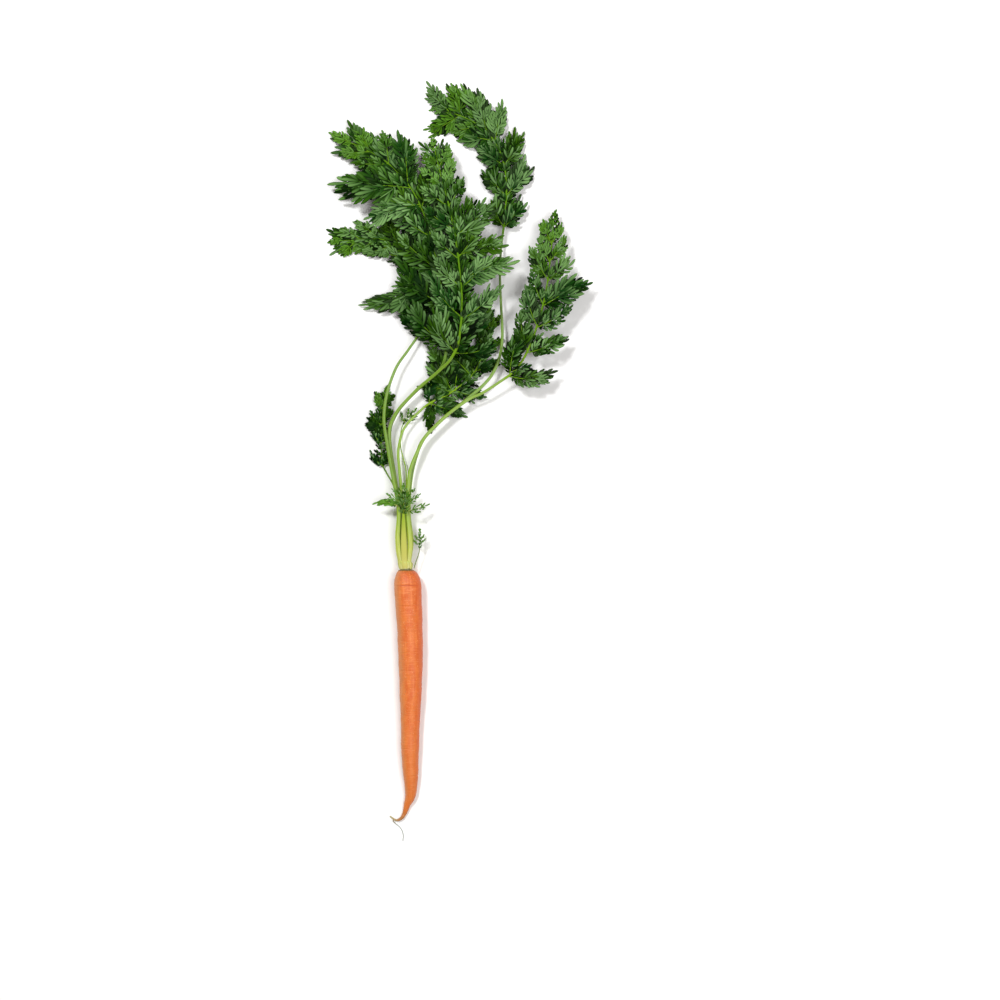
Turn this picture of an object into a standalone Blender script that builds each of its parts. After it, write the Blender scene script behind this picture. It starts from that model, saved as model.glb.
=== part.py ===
"""One fresh carrot with its leafy top, lying on its side.

Lengths are in millimetres and MM turns them into metres. While it is modelled, (0, 0) is the middle of the crown,
where the leaves leave the root. The root points to -Y, the leaves to +Y, and Z is the height above the surface that
the carrot lies on. At the end everything moves so that the middle of the footprint is the origin.
"""

import math
import random

import bmesh
import bpy
from mathutils import Matrix, Vector

MM = 0.001
UP = Vector((0, 0, 1))

# The root.
SHOULDER_RADIUS = 10.1
FLAT_DEPTH = 0.25          # how far the underside is pressed flat where it rests
CROWN_RADIUS = 4.7
CROWN_LENGTH = 7.0
CROWN_SUNK = 1.4           # depth of the dimple in the root's top that the crown grows from
ROOT_SIDES = 16
BEND_START = -150            # beyond this the root's rings turn with its bent tail

# Clearance between neighbouring solids.
GAP = 0.3

# Leaf stalks and blades.
STALK_SIDES = 6
STALK_STEP = 9.0           # distance between the rings of a stalk
FROND_SIDES = 4
FROND_STEP = 11.0
THINNEST = 0.85            # least half width of a rib that leaflets grow from
BLADE_THICKNESS = 0.7
RIB_HALF_WIDTH = 0.8
BLADE_ASPECT = 0.29        # a leaflet's half width as a share of its length
LOBE_SLANT = 0.75          # how far a lobe leans towards the leaflet's tip, as a share of its reach

# Centre line and radius of the root: x, y, radius. The tip bends aside and ends in a thread.
ROOT_LINE = [
    (0.9, 0.0, 5.6),
    (1.5, -3.0, 8.2),
    (1.9, -9.0, SHOULDER_RADIUS),
    (2.4, -22.5, 10.0),
    (3.6, -45.0, 9.6),
    (4.3, -72.0, 9.0),
    (4.1, -99.0, 7.9),
    (3.8, -117.0, 7.1),
    (3.6, -140.0, 6.5),
    (4.2, -158.0, 5.3),
    (3.8, -170.0, 3.9),
    (1.3, -177.0, 2.6),
    (-0.4, -183.0, 1.8),
    (-3.0, -187.4, 1.2),
    (-7.0, -189.0, 0.8),
    (-12.0, -186.0, 0.6),
]

# Stalks and fronds. Each line runs from the crown to where the end leaflet starts, and bare is the length of stalk
# below the first pair of leaflets. Pairs shrink from reach by the share narrowing, and their tips hang by droop.
# A leaf that isn't split is one node, all in its stalk's colour. Extra leaflets stand apart from the pairs: each has a
# place along the line, a compass direction in degrees, a length and a bow.
FROND = dict(width=2.8, roll=18, narrowing=0.52, spread=(52, 36), droop=0.10, split=True)
SMALL = dict(width=1.5, roll=8, narrowing=0.4, spread=(60, 40), droop=0.05, split=False)
LEAVES = {
    "left": dict(
        FROND,
        line=[
            (-3.0, 7.3, 11.8), (-4.6, 15, 12.5), (-5.3, 26, 12.9), (-4.5, 42, 13.0), (-6.2, 56, 13.0), (-9.2, 71, 13.0),
            (-13.7, 97.5, 13.4), (-15.6, 113, 13.6), (-14, 129, 13.6), (-10.4, 142, 12.5), (-5.3, 154, 11),
            (3, 166, 9), (11.3, 180, 7.5), (16, 202, 7), (13.5, 223.5, 6.5), (2.3, 240, 6), (-18.8, 249, 4.5),
            (-39.8, 248.5, 2), (-46, 248, 1.0),
        ],
        bare=178, pairs=7, reach=33, width=2.9, extra=[(219, 227, 48, -0.42)],
    ),
    "upper_left": dict(
        FROND,
        line=[
            (-2.4, 7.3, 6.6), (-3.6, 20, 5.4), (-4.1, 43, 5), (-8.0, 71, 5), (-11.2, 92, 5.2), (-11.6, 105, 5.6),
            (-8.7, 113.6, 6), (-4, 121.3, 6.6), (3.2, 129.3, 7.4), (11.2, 137, 8.2), (18.8, 143.5, 9.6),
            (26, 150, 12), (30.5, 160, 14.6), (31, 178, 17), (28.5, 202, 17.5), (24, 231, 17.5), (17, 259, 17),
            (5, 285, 15.5), (-13, 305, 12), (-33, 317.5, 8), (-40, 320.5, 6.5),
        ],
        bare=178, pairs=8, reach=43, roll=13, extra=[(300, 175, 54, 0.06), (286, 192, 44, 0.06), (304, 94, 36, 0.0)],
    ),
    "middle": dict(
        FROND,
        line=[
            (-3.7, 7.3, 9.1), (-5.1, 18, 8.9), (-4.5, 43, 8.9), (-8.6, 71, 9.1), (-11.5, 92, 9.3),
            (-11.7, 105, 9.6), (-9, 113.3, 10), (-4.3, 121, 10.6), (3, 129, 11.4), (11, 137, 12.6),
            (18.8, 143.3, 14.4), (27, 150, 17.5), (35, 158, 22), (41, 172, 27), (43, 200, 29.5), (40, 235, 29.5),
            (34, 268, 27), (27, 295, 22), (23, 312, 17),
        ],
        bare=178, pairs=8, reach=35, width=3.1, roll=15,
        extra=[(264, 38, 40, 0.05), (250, 17, 36, 0.05), (232, 22, 40, 0.05)],
    ),
    "top": dict(
        FROND,
        line=[
            (2.9, 7.3, 8.8), (4.3, 22.5, 8.6), (2.6, 43, 8.8), (4.6, 70, 8.6), (9.8, 90, 8.6), (14.7, 99.4, 8.9),
            (23.1, 108.4, 9.3), (32, 116.7, 9.3), (41, 123.8, 9.3), (50, 131, 9.4), (58, 138, 9.6), (65.5, 147, 9.8),
            (71, 160, 9.8), (73, 176, 9.6), (72, 199, 9.0), (71.2, 220, 8.2), (72, 241, 7.2), (74.6, 263, 6.6),
            (76, 280, 6.2), (75.6, 297, 5.8), (72, 312.5, 5.2), (64.5, 326, 4.4), (52, 337, 3.2), (39, 343, 2.0),
            (28, 345.5, 1.0),
        ],
        bare=276, pairs=6, reach=25, width=3.0, roll=14, spread=(36, 58), narrowing=-0.05,
        extra=[(352, 104, 29, 0.0), (384, 133, 25, 0.0)],
    ),
    "right": dict(
        FROND,
        line=[
            (2.8, 7.3, 11.9), (3.9, 20, 12.4), (2.0, 43, 12.6), (3.0, 68, 12.3), (5.0, 78, 12.3),
            (9.8, 89.5, 12.3), (14.7, 99, 12.3), (23.1, 108, 12.3), (32, 116.3, 12.3), (39.8, 122.3, 12.6),
            (48.8, 128.4, 13), (59, 133.1, 13.6), (71.3, 141, 14.6), (82, 149, 15.6), (91, 162, 17),
            (98, 180, 17.8), (103, 197, 18), (106.5, 214, 18), (109.5, 240, 16.5), (111, 256, 14),
        ],
        bare=174, pairs=7, reach=34, width=3.0, roll=16, spread=(48, 27), narrowing=0.55,
        extra=[(232, 30, 40, 0.0)],
    ),
    "inner": dict(
        FROND,
        line=[
            (-0.4, 7.3, 10.5), (-0.9, 22.5, 10.0), (-1.0, 41, 10.0), (-4.4, 76.5, 8.8), (-5.2, 87, 8.8),
            (-4.3, 94.7, 8.8), (-2.0, 103.7, 8.6), (2.2, 110.4, 8.2), (8.5, 116.8, 7.4), (16.3, 123.9, 6),
            (24, 128.2, 4.8), (32, 132, 4), (41.3, 138.5, 4), (51.8, 148.5, 4), (59.3, 165, 3.6), (62, 180, 2.5),
            (62.5, 192, 1.0),
        ],
        bare=127, pairs=5, reach=25, width=2.6, roll=12,
        extra=[(129, 262, 22, 0.0), (146, 115, 40, 0.05), (146, 165, 24, 0.0), (165, 132, 34, 0.05)],
    ),
    "low_left": dict(
        FROND,
        line=[
            (0.3, 7.3, 5.3), (-1.2, 22.5, 2.6), (-4, 45, 2.0), (-8.5, 62, 1.8), (-14.3, 72.8, 2.0),
            (-17.6, 80, 2.4), (-18.3, 92, 3), (-18.2, 106, 4), (-18.3, 119, 4), (-15.4, 131, 3.5),
        ],
        bare=74, pairs=4, reach=13, width=1.5, roll=12, narrowing=-0.1, spread=(36, 38),
        extra=[(96, 126, 19, 0.0)],
    ),
    "young": dict(
        SMALL,
        line=[(-0.2, 7.3, 13.4), (-0.6, 22, 15.4), (-0.8, 38, 16.4), (-0.8, 47, 16.6), (-0.6, 58, 16.4)],
        bare=38, pairs=3, reach=20, width=3.6, narrowing=0.8, spread=(82, 40), droop=0.22,
    ),
    "small": dict(
        SMALL,
        line=[
            (0.3, 7.3, 7.9), (0.6, 22.5, 7.2), (0.8, 52.5, 6), (0.6, 74, 5.2), (-1.7, 84.2, 4.8),
            (-3.6, 93.2, 4.4), (-3.2, 105, 4), (0, 112.5, 3.6), (5, 118, 3.3),
        ],
        bare=106, pairs=2, reach=8,
    ),
    "tiny": dict(
        SMALL,
        line=[(6.8, 1.3, 9.6), (8.1, 6, 9.8), (10.2, 12, 10), (11.2, 18, 10), (11.0, 26, 10.5)],
        bare=19, pairs=2, reach=6,
    ),
}


def point_on(p0, p1, p2, p3, t):
    """A point between p1 and p2 on the smooth line through four points."""
    return 0.5 * (2 * p1 + (p2 - p0) * t + (2 * p0 - 5 * p1 + 4 * p2 - p3) * t * t
                  + (3 * p1 - p0 - 3 * p2 + p3) * t * t * t)


class Line:
    """A smooth line through points of any number of coordinates, measured by its length in x, y and z."""

    def __init__(self, points, fineness=12):
        points = [Vector(p) for p in points]
        ends = [2 * points[0] - points[1], *points, 2 * points[-1] - points[-2]]
        self.points = [
            point_on(*ends[i:i + 4], step / fineness)
            for i in range(len(points) - 1)
            for step in range(fineness)
        ] + [points[-1]]
        self.marks = [0.0]
        for a, b in zip(self.points, self.points[1:]):
            self.marks.append(self.marks[-1] + (b - a).length)
        self.length = self.marks[-1]

    def at(self, distance):
        """The point this far along."""
        distance = min(max(distance, 0.0), self.length)
        i = 1
        while self.marks[i] < distance:
            i += 1
        share = (distance - self.marks[i - 1]) / (self.marks[i] - self.marks[i - 1])
        return self.points[i - 1].lerp(self.points[i], share)

    def heading(self, distance):
        """The direction of the line this far along."""
        reach = 0.5
        low, high = max(distance - reach, 0.0), min(distance + reach, self.length)
        return (self.at(high) - self.at(low)).normalized()


def link(name, vertices, faces, material, collection=None):
    """A mesh object from points in millimetres."""
    mesh = bpy.data.meshes.new(name)
    mesh.from_pydata([v * MM for v in vertices], [], faces)
    mesh.materials.append(material)
    piece = bpy.data.objects.new(name, mesh)
    (collection or bpy.context.scene.collection).objects.link(piece)
    return piece


def finish_material(name, colour, roughness):
    """A plain skin or leaf finish."""
    material = bpy.data.materials.new(name)
    material.use_nodes = True
    shader = material.node_tree.nodes["Principled BSDF"]
    shader.inputs["Base Color"].default_value = (*colour, 1)
    shader.inputs["Roughness"].default_value = roughness
    shader.inputs["Metallic"].default_value = 0.0
    material.diffuse_color = (*colour, 1)
    return material


def walls_and_ends(rings, sides):
    """The faces of a closed skin over rings of points. Along the skin's way, the rings run clockwise."""
    faces = [
        [r * sides + i, (r + 1) * sides + i, (r + 1) * sides + (i + 1) % sides, r * sides + (i + 1) % sides]
        for r in range(rings - 1)
        for i in range(sides)
    ]
    faces.append(list(range(sides)))
    faces.append([(rings - 1) * sides + i for i in range(sides)][::-1])
    return faces


def tube(name, line, distances, half_width, half_height, sides, material, collection=None):
    """A closed tube along the line, with a ring at each distance. Its underside never goes below the surface."""
    vertices = []
    for distance in distances:
        heading = line.heading(distance)
        aside = heading.cross(UP).normalized()
        top = aside.cross(heading)
        for i in range(sides):
            turn = 2 * math.pi * (i + 0.5) / sides
            out = aside * half_width(distance) * math.cos(turn) + top * half_height(distance) * math.sin(turn)
            vertices.append(line.at(distance) + out)
    for v in vertices:
        v.z = max(v.z, 0.0)
    return link(name, vertices, walls_and_ends(len(distances), sides), material, collection)


def spaced(start, end, step):
    """Distances from start to end, about a step apart."""
    count = max(2, round((end - start) / step) + 1)
    return [start + (end - start) * i / (count - 1) for i in range(count)]


# --- The root ---------------------------------------------------------------------------------------------------------

def make_root(material):
    """The taproot: a dimpled top, a round shoulder, a long taper and a tail that bends aside. It is pressed a little
    flat underneath, where it rests."""
    plan = Line([(x, y, radius) for x, y, radius in ROOT_LINE])
    stations = []
    for i, (x, y, radius) in enumerate(ROOT_LINE):
        stations.append((x, y, radius))
        if i + 1 == len(ROOT_LINE):
            break
        here, there = Vector(ROOT_LINE[i]), Vector(ROOT_LINE[i + 1])
        gaps = round((there - here).length / 8)
        first = i * (len(plan.points) - 1) // (len(ROOT_LINE) - 1)
        per_span = (len(plan.points) - 1) // (len(ROOT_LINE) - 1)
        for g in range(1, gaps):
            stations.append(tuple(plan.points[first + round(per_span * g / gaps)]))
    vertices = []

    def ring(x, y, radius, heading, body_radius):
        aside = Vector((heading.y, -heading.x, 0))
        height = body_radius - FLAT_DEPTH
        for k in range(ROOT_SIDES):
            turn = 2 * math.pi * (k + 0.5) / ROOT_SIDES
            swell = 1 + 0.012 * math.sin(3 * turn + y / 17) + 0.008 * math.sin(y / 5.5)
            out = aside * math.cos(turn) + UP * math.sin(turn)
            point = Vector((x, y, height)) + out * radius * swell
            point.z = max(point.z, 0.0)
            vertices.append(point)

    down = Vector((0, -1, 0))
    top_x = ROOT_LINE[0][0]
    rim = CROWN_RADIUS + GAP
    ring(top_x, -CROWN_SUNK - GAP, rim, down, SHOULDER_RADIUS)
    for i, (x, y, radius) in enumerate(stations):
        before, after = stations[max(i - 1, 0)], stations[min(i + 1, len(stations) - 1)]
        heading = Vector((after[0] - before[0], after[1] - before[1], 0)).normalized()
        tail_lift = 1.2 * max(0.0, (-y - 183) / 6) if radius < 1.5 else 0.0
        body_radius = SHOULDER_RADIUS if y > -9 else radius
        ring(x, y, radius, down if y > BEND_START else heading, body_radius + tail_lift)
    return link("root", vertices, walls_and_ends(len(vertices) // ROOT_SIDES, ROOT_SIDES), material)


def make_crown(material):
    """The short stem on top of the root, with the bases of the stalks wrapped round it as ribs."""
    axis_height = SHOULDER_RADIUS - FLAT_DEPTH
    middle = ROOT_LINE[0][0]
    sides = 14
    ribs = sides / 2
    vertices = []
    profile = [(-CROWN_SUNK, 0.96), (1.0, 0.98), (3.5, 1.02), (CROWN_LENGTH - 0.8, 1.06), (CROWN_LENGTH, 0.98)]
    for y, share in profile:
        lean = -0.9 * (y + CROWN_SUNK) / (CROWN_LENGTH + CROWN_SUNK)
        for i in range(sides):
            turn = 2 * math.pi * i / sides
            radius = CROWN_RADIUS * share * (0.97 + 0.03 * math.cos(ribs * turn))
            vertices.append(Vector((middle + lean + radius * math.cos(turn), y, axis_height + radius * math.sin(turn))))
    return link("crown", vertices, walls_and_ends(len(profile), sides), material)


# --- Leaflets ---------------------------------------------------------------------------------------------------------

def outline_of(length, lobes):
    """The outline of one side of a leaflet, from its foot: for each lobe the notch by the rib and the tip. After the
    lobes come the last notch and the shoulder of the end lobe."""
    half = length * BLADE_ASPECT
    stem = 0.12 * length
    pitch = 0.70 * length / lobes
    lobed = []
    for i in range(lobes):
        start = stem + pitch * i
        reach = half * math.sin(math.pi * (0.24 + 0.66 * (i + 0.5) / lobes))
        lean = reach * LOBE_SLANT
        lobed.append(((start, RIB_HALF_WIDTH), (start + 0.5 * pitch + lean, reach)))
    last = stem + pitch * lobes
    shoulder = (last + 0.07 * length, RIB_HALF_WIDTH + 0.055 * length)
    return lobed, (last, RIB_HALF_WIDTH), shoulder


def blade_faces(length, lobes):
    """Flat points (along, across) and triangles of one face of a leaflet, and the points round its edge in order."""
    lobed, last, shoulder = outline_of(length, lobes)
    points = []
    for sign in (1, -1):
        points.append((0.0, sign * RIB_HALF_WIDTH))
        for lobe in lobed:
            points += [(u, sign * v) for u, v in lobe]
        points += [(last[0], sign * last[1]), (shoulder[0], sign * shoulder[1])]
    count = len(points) // 2
    points.append((length, 0.0))
    tip = 2 * count
    notches = [1 + 2 * i for i in range(lobes + 1)]
    rail = [0, *notches]
    triangles = []
    for a, b in zip(rail, rail[1:]):
        triangles += [(a, count + a, count + b), (a, count + b, b)]
    triangles.append((notches[-1], count + notches[-1], tip))
    for a, b in zip(notches, notches[1:]):
        triangles += [(a, b, b - 1), (count + a, count + b - 1, count + b)]
    triangles += [(notches[-1], tip, count - 1), (count + notches[-1], 2 * count - 1, tip)]
    edge = [*range(count), tip, *range(2 * count - 1, count - 1, -1)]
    return points, triangles, edge


def leaflet(foot, heading, up, length, bow, droop, material, collection):
    """A thin arched blade, cut to its rib into lobes. Both faces are split into the same triangles."""
    across = up.cross(heading).normalized()
    lobes = 4 if length > 28 else 3 if length > 14 else 2
    flat, triangles, edge = blade_faces(length, lobes)
    upper, lower = [], []
    for u, v in flat:
        share = u / length
        rise = length * (0.10 * math.sin(math.pi * min(share, 1.0)) - droop * share * share) - 0.16 * abs(v)
        point = foot + heading * u + across * (v + bow * length * share * share) + up * rise
        high, low = point + up * BLADE_THICKNESS / 2, point - up * BLADE_THICKNESS / 2
        low.z = max(low.z, 0.0)
        high.z = max(high.z, low.z + BLADE_THICKNESS * 0.9)
        upper.append(high)
        lower.append(low)
    count = len(flat)
    faces = [list(t) for t in triangles]
    faces += [[c + count, b + count, a + count] for a, b, c in triangles]
    for a, b in zip(edge, edge[1:] + edge[:1]):
        faces += [[a, b, b + count], [a, b + count, a + count]]
    return link("leaflet", upper + lower, faces, material, collection)


# --- Leaves -----------------------------------------------------------------------------------------------------------

def fused(base, collection):
    """Joins every solid of the collection to the base and removes them."""
    join = base.modifiers.new("join", "BOOLEAN")
    join.operation = "UNION"
    join.operand_type = "COLLECTION"
    join.collection = collection
    join.solver = "EXACT"
    graph = bpy.context.evaluated_depsgraph_get()
    base.data = bpy.data.meshes.new_from_object(base.evaluated_get(graph))
    base.modifiers.clear()
    work = bmesh.new()
    work.from_mesh(base.data)
    bmesh.ops.dissolve_limit(work, angle_limit=math.radians(1), verts=work.verts, edges=work.edges)
    work.to_mesh(base.data)
    work.free()
    for piece in list(collection.objects):
        bpy.data.objects.remove(piece)
    bpy.data.collections.remove(collection)
    return base


def stalk_half_width(leaf, line):
    """Half the stalk's width: narrow where it leaves the crown, full soon after, then thinner to the end."""
    full = leaf["width"] / 2

    def half(distance):
        base = 0.84 + 0.16 * min(1.0, distance / 14)
        return max(full * base * (1 - 0.66 * (distance / line.length) ** 1.3), THINNEST)

    return half


def pair_marks(leaf, line):
    """Distances of the pairs of leaflets along the line. They stand closer together towards the end."""
    pairs = leaf["pairs"]
    gaps = [1.0 - 0.55 * i / pairs for i in range(pairs)]
    scale = (line.length - leaf["bare"]) / sum(gaps)
    return [leaf["bare"] + scale * sum(gaps[:i]) for i in range(pairs)]


def make_leaf(name, leaf, draw, stalk_finish, blade_finish):
    """A stalk, and past a hairline gap the frond: the stalk's thinner end with its leaflets in pairs."""
    line = Line(leaf["line"])
    half = stalk_half_width(leaf, line)
    start, label, finish = 0.0, "leaf_" + name, stalk_finish
    if leaf["split"]:
        split = leaf["bare"] - 5
        tube("stalk_" + name, line, spaced(0.0, split, STALK_STEP), half, lambda d: half(d) * 0.82, STALK_SIDES,
             stalk_finish)
        start, label, finish = split + GAP, "frond_" + name, blade_finish
    step = min(FROND_STEP, (line.length - start) / 9)
    frond = tube(label, line, spaced(start, line.length, step), half, lambda d: half(d) * 0.9, FROND_SIDES, finish)
    leaflets = bpy.data.collections.new("leaflets")
    bpy.context.scene.collection.children.link(leaflets)
    marks = pair_marks(leaf, line)
    for i, mark in enumerate(marks):
        share = i / len(marks)
        heading = line.heading(mark)
        right = heading.cross(UP).normalized()
        up = right.cross(heading)
        first, last = leaf["spread"]
        for side in (1, -1):
            angle = math.radians(first + (last - first) * share + draw.uniform(-5, 5))
            roll = math.radians(leaf["roll"] * (1 - 0.4 * share) + draw.uniform(-4, 4))
            length = leaf["reach"] * (1 - leaf["narrowing"] * share ** 1.4) * draw.uniform(0.9, 1.08)
            place = mark + draw.uniform(-1.2, 1.2)
            foot = line.at(place) + right * side * half(place) * 0.5
            rib = heading * math.cos(angle) + right * side * math.sin(angle)
            tilted = Matrix.Rotation(roll * side, 3, rib) @ up
            leaflet(foot, rib, tilted, length, 0.10 * side, leaf["droop"], finish, leaflets)
    for place, towards, length, bow in leaf.get("extra", ()):
        rib = Vector((math.cos(math.radians(towards)), math.sin(math.radians(towards)), 0.0))
        leaflet(line.at(place), rib, UP, length, bow, leaf["droop"], finish, leaflets)
    end_length = max(0.45 * leaf["reach"], 7)
    leaflet(line.at(line.length - 1.5), line.heading(line.length), UP, end_length, 0.0, 0.06, finish, leaflets)
    return fused(frond, leaflets)


def clear_scene():
    for old in list(bpy.data.objects):
        bpy.data.objects.remove(old)


def settle_on_origin():
    """Moves everything so that the middle of the footprint, on the surface, is the origin."""
    pieces = [o for o in bpy.context.scene.objects if o.type == "MESH"]
    corners = [v.co for piece in pieces for v in piece.data.vertices]
    low = Vector(map(min, zip(*corners)))
    high = Vector(map(max, zip(*corners)))
    shift = -Vector(((low.x + high.x) / 2, (low.y + high.y) / 2, low.z))
    for piece in pieces:
        piece.data.transform(Matrix.Translation(shift))


def main():
    clear_scene()
    skin = finish_material("carrot skin", (0.85, 0.25, 0.07), 0.55)
    pale = finish_material("pale crown", (0.62, 0.66, 0.22), 0.5)
    green = finish_material("leaf stalk", (0.26, 0.42, 0.06), 0.45)
    leaf_green = finish_material("leaf blade", (0.06, 0.17, 0.03), 0.5)
    make_root(skin)
    make_crown(pale)
    for seed, (name, leaf) in enumerate(LEAVES.items()):
        make_leaf(name, leaf, random.Random(seed), green, leaf_green)
    settle_on_origin()
    for piece in bpy.context.scene.objects:
        piece.data.shade_smooth()
        piece.data.set_sharp_from_angle(angle=math.radians(35))


main()
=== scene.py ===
import math
import random

import bpy
import numpy as np
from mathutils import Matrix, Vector


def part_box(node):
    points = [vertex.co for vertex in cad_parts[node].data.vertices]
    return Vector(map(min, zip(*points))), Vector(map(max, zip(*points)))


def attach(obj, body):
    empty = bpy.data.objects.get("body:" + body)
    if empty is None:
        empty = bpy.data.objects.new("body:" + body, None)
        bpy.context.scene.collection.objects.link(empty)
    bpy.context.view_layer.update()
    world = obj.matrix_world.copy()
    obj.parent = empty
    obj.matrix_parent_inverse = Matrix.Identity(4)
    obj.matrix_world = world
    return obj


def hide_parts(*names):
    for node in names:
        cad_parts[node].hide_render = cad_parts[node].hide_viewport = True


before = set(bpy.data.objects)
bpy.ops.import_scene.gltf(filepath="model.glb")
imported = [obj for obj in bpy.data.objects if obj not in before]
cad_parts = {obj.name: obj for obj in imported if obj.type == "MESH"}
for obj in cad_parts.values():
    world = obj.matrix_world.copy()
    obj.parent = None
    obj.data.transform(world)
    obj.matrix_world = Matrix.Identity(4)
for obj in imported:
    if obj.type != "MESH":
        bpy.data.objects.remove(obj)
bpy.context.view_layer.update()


# --- The root -------------------------------------------------------------------------------------
# A carrot's root is one fleshy taper with thin orange skin. It grew in soil, so the skin has fine rings
# and short creases across it, and small scars where side roots were. It narrows to a brown tail and a
# hair.

# Sizes are in millimetres. (0, 0) is the middle of the root's top, the root points to -Y, and Z is the
# height above the surface that it lies on.
MM = 0.001
crown_low, crown_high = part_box("crown")
CROWN_REACH = 5.412        # from the middle of the root's top to the crown's furthest side
CROWN_SUNK = 1.4           # depth of the crown's foot in the dimple of the root's top
ORIGIN = np.array([crown_high.x - CROWN_REACH * MM, crown_low.y + CROWN_SUNK * MM, 0.0])

SHOULDER_RADIUS = 10.1
FLAT_DEPTH = 0.25
ROOT_LINE = [
    (0.9, 0.0, 5.6), (1.5, -3.0, 8.2), (1.9, -9.0, SHOULDER_RADIUS), (2.4, -22.5, 10.0),
    (3.6, -45.0, 9.6), (4.3, -72.0, 9.0), (4.1, -99.0, 7.9), (3.8, -117.0, 7.1), (3.6, -140.0, 6.5),
    (4.2, -158.0, 5.3), (3.8, -170.0, 3.9), (1.3, -177.0, 2.6), (-0.4, -183.0, 1.8), (-3.0, -187.4, 1.2),
    (-7.0, -189.0, 0.8), (-12.0, -186.0, 0.6),
]
SHOULDER_Y = -9.0          # below it the root lies on its side, above it the rounded top stands clear
BEND_START = 120.0         # from this far down the cross sections turn with the root's bend,
BEND_LENGTH = 40.0         # and over this length they come to follow it
TAIL_START = 183.0         # the tail's end rises from the surface here,
TAIL_RISE = 0.2            # by this much for each millimetre

# The dimple's radius and y, from the middle out.
DIMPLE = [(2.2, -2.3), (4.4, -2.0), (4.95, -1.3), (5.1, -0.6), (5.3, -0.15)]

# The clearest crease: its y, its middle and half length round the root in radians, and its width.
TOP_CREASE = (-11.6, math.pi / 2, 1.1, 0.42)
TOP_CREASE_DEPTH = 0.4
CREASE_COUNT = 85
SCAR_COUNT = 70
SKIN_SEED = 11

ROOT_SIDES = 96
ROOT_STEP = 0.45
PATH_FINENESS = 12         # spans between two points of a line
SHARPEST_SMOOTH = math.radians(75)      # edges sharper than this stay sharp


class Path:
    """A smooth line through points, followed by its length."""

    def __init__(self, points, fineness=PATH_FINENESS):
        points = np.array(points, float)
        ends = np.vstack([2 * points[0] - points[1], points, 2 * points[-1] - points[-2]])
        t = np.arange(fineness)[:, None] / fineness
        spans = []
        for i in range(len(points) - 1):
            p0, p1, p2, p3 = ends[i:i + 4]
            spans.append(0.5 * (2 * p1 + (p2 - p0) * t + (2 * p0 - 5 * p1 + 4 * p2 - p3) * t ** 2
                                + (3 * p1 - p0 - 3 * p2 + p3) * t ** 3))
        self.points = np.vstack([*spans, points[-1:]])
        steps = np.linalg.norm(np.diff(self.points, axis=0), axis=1)
        self.marks = np.concatenate([[0.0], np.cumsum(steps)])
        self.length = self.marks[-1]

    def at(self, distance):
        """The point this far along, or the points for an array of distances."""
        return np.stack([np.interp(distance, self.marks, c) for c in self.points.T], -1)

    def heading(self, distance, reach=0.5):
        """The direction of the line there."""
        behind, ahead = np.maximum(distance - reach, 0.0), np.minimum(distance + reach, self.length)
        way = self.at(ahead) - self.at(behind)
        return way / np.linalg.norm(way, axis=-1, keepdims=True)


def ring_faces(rings, sides):
    """Faces of a closed skin over rings of points."""
    faces = [
        (r * sides + i, (r + 1) * sides + i, (r + 1) * sides + (i + 1) % sides, r * sides + (i + 1) % sides)
        for r in range(rings - 1)
        for i in range(sides)
    ]
    faces.append(tuple(range(sides)))
    faces.append(tuple((rings - 1) * sides + i for i in reversed(range(sides))))
    return faces


def make_piece(name, vertices, faces, finish, measures, replaced=()):
    """A piece of the carrot from points in millimetres. Measures are values for its finish, one for each
    point."""
    mesh = bpy.data.meshes.new(name)
    mesh.from_pydata((np.asarray(vertices) * MM + ORIGIN).tolist(), [], faces)
    for label, values in measures.items():
        attribute = mesh.attributes.new(label, "FLOAT", "POINT")
        attribute.data.foreach_set("value", np.asarray(values, np.float32))
    mesh.materials.append(finish)
    mesh.shade_smooth()
    mesh.set_sharp_from_angle(angle=SHARPEST_SMOOTH)
    piece = bpy.data.objects.new(name, mesh)
    bpy.context.scene.collection.objects.link(piece)
    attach(piece, "root")
    if replaced:
        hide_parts(*replaced)
    return piece


def crease_at(y, turn, place, middle, span, width):
    """How near points are to a crease across the root: its share of full depth there, and the gap in
    widths."""
    away = np.abs((turn - middle + math.pi) % (2 * math.pi) - math.pi)
    gap = (y - place - 0.5 * np.cos(away * 2)) / width
    return np.clip(1 - (away / span) ** 2, 0, 1), gap


def root_relief(y, turn, draw):
    """How far the skin stands out from the smooth root: soft lumps, creases that run part of the way
    round, and scars of side roots, each a short pit with a raised lip."""
    out = 0.09 * np.sin(y / 3.1 + 1.7 * np.sin(turn)) + 0.05 * np.sin(y / 1.37 + 2.3 * np.sin(turn + 1.1))
    creases = [(TOP_CREASE_DEPTH, *TOP_CREASE)]
    for _ in range(CREASE_COUNT):
        place, middle = draw.uniform(-178, -4), draw.uniform(0, 2 * math.pi)
        span, depth, width = draw.uniform(0.35, 1.5), draw.uniform(0.05, 0.2), draw.uniform(0.3, 0.65)
        creases.append((depth, place, middle, span, width))
    for depth, *crease in creases:
        ends, gap = crease_at(y, turn, *crease)
        lip = np.exp(-(np.abs(gap) - 1.7) ** 2)
        out = out - depth * ends * np.exp(-gap ** 2) + 0.45 * depth * ends * lip
    for _ in range(SCAR_COUNT):
        place, middle = draw.uniform(-172, -10), draw.uniform(0, 2 * math.pi)
        away = np.abs((turn - middle + math.pi) % (2 * math.pi) - math.pi)
        spot = ((y - place) / 0.55) ** 2 + (away / draw.uniform(0.1, 0.26)) ** 2
        out = out + draw.uniform(-0.22, 0.16) * np.exp(-spot)
    return out


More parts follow.
